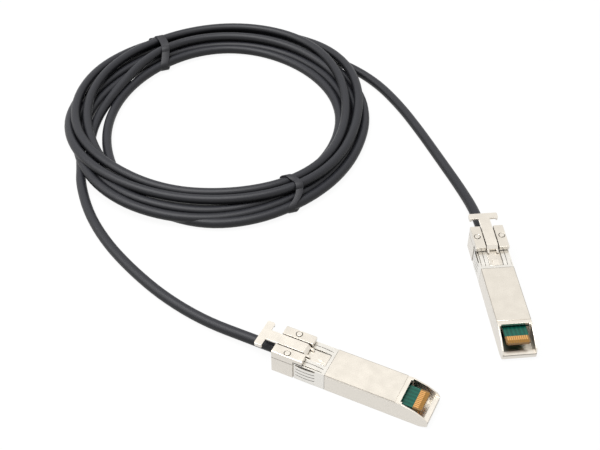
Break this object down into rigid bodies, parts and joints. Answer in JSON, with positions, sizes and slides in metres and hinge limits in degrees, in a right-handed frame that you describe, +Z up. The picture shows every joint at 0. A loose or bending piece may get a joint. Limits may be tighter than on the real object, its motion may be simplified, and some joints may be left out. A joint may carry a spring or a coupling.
{
  "type": "direct attach copper cable",
  "caption": "Network cable with a small pluggable module at each end, coiled and tied; each module has a push latch lever and spring fingers.",
  "frame": {"origin": "plug A's latch shoulder station, on the middle of its label face, which lies on the table", "axes": "+X along plug A towards its nose, +Z up out of its latch side, +Y to its left"},
  "size_m": [0.2487, 0.1937, 0.0112],
  "materials": {
    "nickel_shell": "satin nickel plate on die-cast metal",
    "nickel_cover": "satin nickel plate on die-cast metal",
    "spring_sheet": "polished spring steel",
    "lever_sheet": "nickel-plated sheet steel",
    "rivet_metal": "nickel plate",
    "board_green": "green solder mask",
    "contact_gold": "gold plate",
    "chip_black": "matte moulding",
    "capacitor_tan": "ceramic with tinned ends",
    "ferrule_metal": "tinned steel",
    "braid_copper": "tinned copper braid",
    "pair_jacket": "foil-wrapped pair film",
    "cable_jacket": "satin black jacket",
    "tie_black": "satin black tie"
  },
  "bodies": {
    "cable_assembly": {"base_shell_a": "nickel_shell", "cover_shell_a": "nickel_cover", "spring_collar_a": "spring_sheet", "rivets_a": "rivet_metal", "circuit_board_a": "board_green", "contact_pads_a": "contact_gold", "memory_chip_a": "chip_black", "coupling_capacitors_a": "capacitor_tan", "crimp_ferrule_a": "ferrule_metal", "folded_braid_a": "braid_copper", "twinax_pairs_a": "pair_jacket", "base_shell_b": "nickel_shell", "cover_shell_b": "nickel_cover", "spring_collar_b": "spring_sheet", "rivets_b": "rivet_metal", "circuit_board_b": "board_green", "contact_pads_b": "contact_gold", "memory_chip_b": "chip_black", "coupling_capacitors_b": "capacitor_tan", "crimp_ferrule_b": "ferrule_metal", "folded_braid_b": "braid_copper", "twinax_pairs_b": "pair_jacket", "cable_lead_a": "cable_jacket", "cable_lead_b": "cable_jacket", "cable_coil": "cable_jacket", "coil_tie_1": "tie_black", "coil_tie_2": "tie_black"},
    "latch_a": {"latch_lever_a": "lever_sheet"},
    "latch_b": {"latch_lever_b": "lever_sheet"}
  },
  "joints": [
    {"name": "latch_a_slide", "type": "slide", "parent": "cable_assembly", "child": "latch_a", "axis": [1, 0, 0], "range_m": [0, 0.0025]},
    {"name": "latch_b_slide", "type": "slide", "parent": "cable_assembly", "child": "latch_b", "axis": [0.518, -0.8554, 0], "range_m": [0, 0.0025]}
  ]
}
